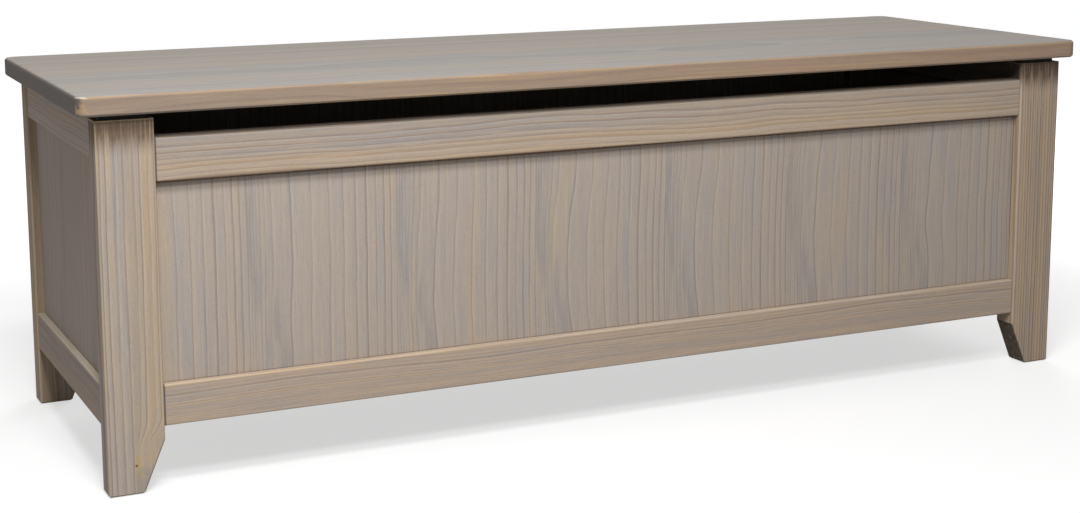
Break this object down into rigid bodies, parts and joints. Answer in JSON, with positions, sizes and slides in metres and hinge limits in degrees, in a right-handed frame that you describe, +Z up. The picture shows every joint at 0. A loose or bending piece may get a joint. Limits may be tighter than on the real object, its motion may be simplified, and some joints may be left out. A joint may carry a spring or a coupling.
{
  "type": "blanket chest",
  "caption": "Long low blanket chest in grey-washed pine: framed and panelled box on tapered feet, overhanging hinged lid with a hand gap below it and a slotted lid stay.",
  "frame": {"origin": "on the floor, under the middle of the closed lid", "axes": "+X along the chest towards its right end as seen from the front, +Y from front to back, +Z up"},
  "size_m": [1.2, 0.398, 0.398],
  "materials": {
    "grey_wash_pine": "satin grey-brown stain over open pine grain",
    "inside_pine": "matt, thinly stained pine",
    "steel": "bright zinc-plated steel",
    "screw_steel": "zinc-plated steel",
    "rubber": "matt black rubber"
  },
  "bodies": {
    "root": {"front_left_post": "grey_wash_pine", "back_left_post": "grey_wash_pine", "front_right_post": "grey_wash_pine", "back_right_post": "grey_wash_pine", "front_bottom_rail": "grey_wash_pine", "front_top_rail": "grey_wash_pine", "back_bottom_rail": "grey_wash_pine", "back_top_rail": "grey_wash_pine", "left_bottom_rail": "grey_wash_pine", "left_top_rail": "grey_wash_pine", "right_bottom_rail": "grey_wash_pine", "right_top_rail": "grey_wash_pine", "front_panel": "grey_wash_pine", "back_panel": "grey_wash_pine", "left_panel": "grey_wash_pine", "right_panel": "grey_wash_pine", "bottom_panel": "inside_pine", "bottom_bearer": "inside_pine", "front_cleat": "inside_pine", "back_cleat": "inside_pine", "left_cleat": "inside_pine", "right_cleat": "inside_pine", "cleat_brads": "screw_steel", "left_hinge_case_leaf": "steel", "right_hinge_case_leaf": "steel", "left_hinge_pin": "steel", "right_hinge_pin": "steel", "case_hardware_screws": "screw_steel", "lid_buffers": "rubber", "stay_stud_plate": "steel"},
    "lid": {"lid_panel": "grey_wash_pine", "left_lid_batten": "inside_pine", "right_lid_batten": "inside_pine", "batten_brads": "screw_steel", "left_hinge_lid_leaf": "steel", "right_hinge_lid_leaf": "steel", "lid_hardware_screws": "screw_steel", "stay_lid_bracket": "steel", "stay_rivet": "steel"},
    "stay": {"stay_arm": "steel"}
  },
  "joints": [
    {"name": "lid_hinge", "type": "hinge", "parent": "root", "child": "lid", "pos_m": [0, 0.1944, 0.37525], "axis": [-1, 0, 0], "range_deg": [0, 95]},
    {"name": "stay_pivot", "type": "hinge", "parent": "lid", "child": "stay", "pos_m": [-0.5574, 0.04463, 0.36688], "axis": [1, 0, 0], "range_deg": [0, 47.5]}
  ],
  "couplings": [
    {"joint": "stay_pivot", "follows": "lid_hinge", "ratio": 0.5}
  ]
}
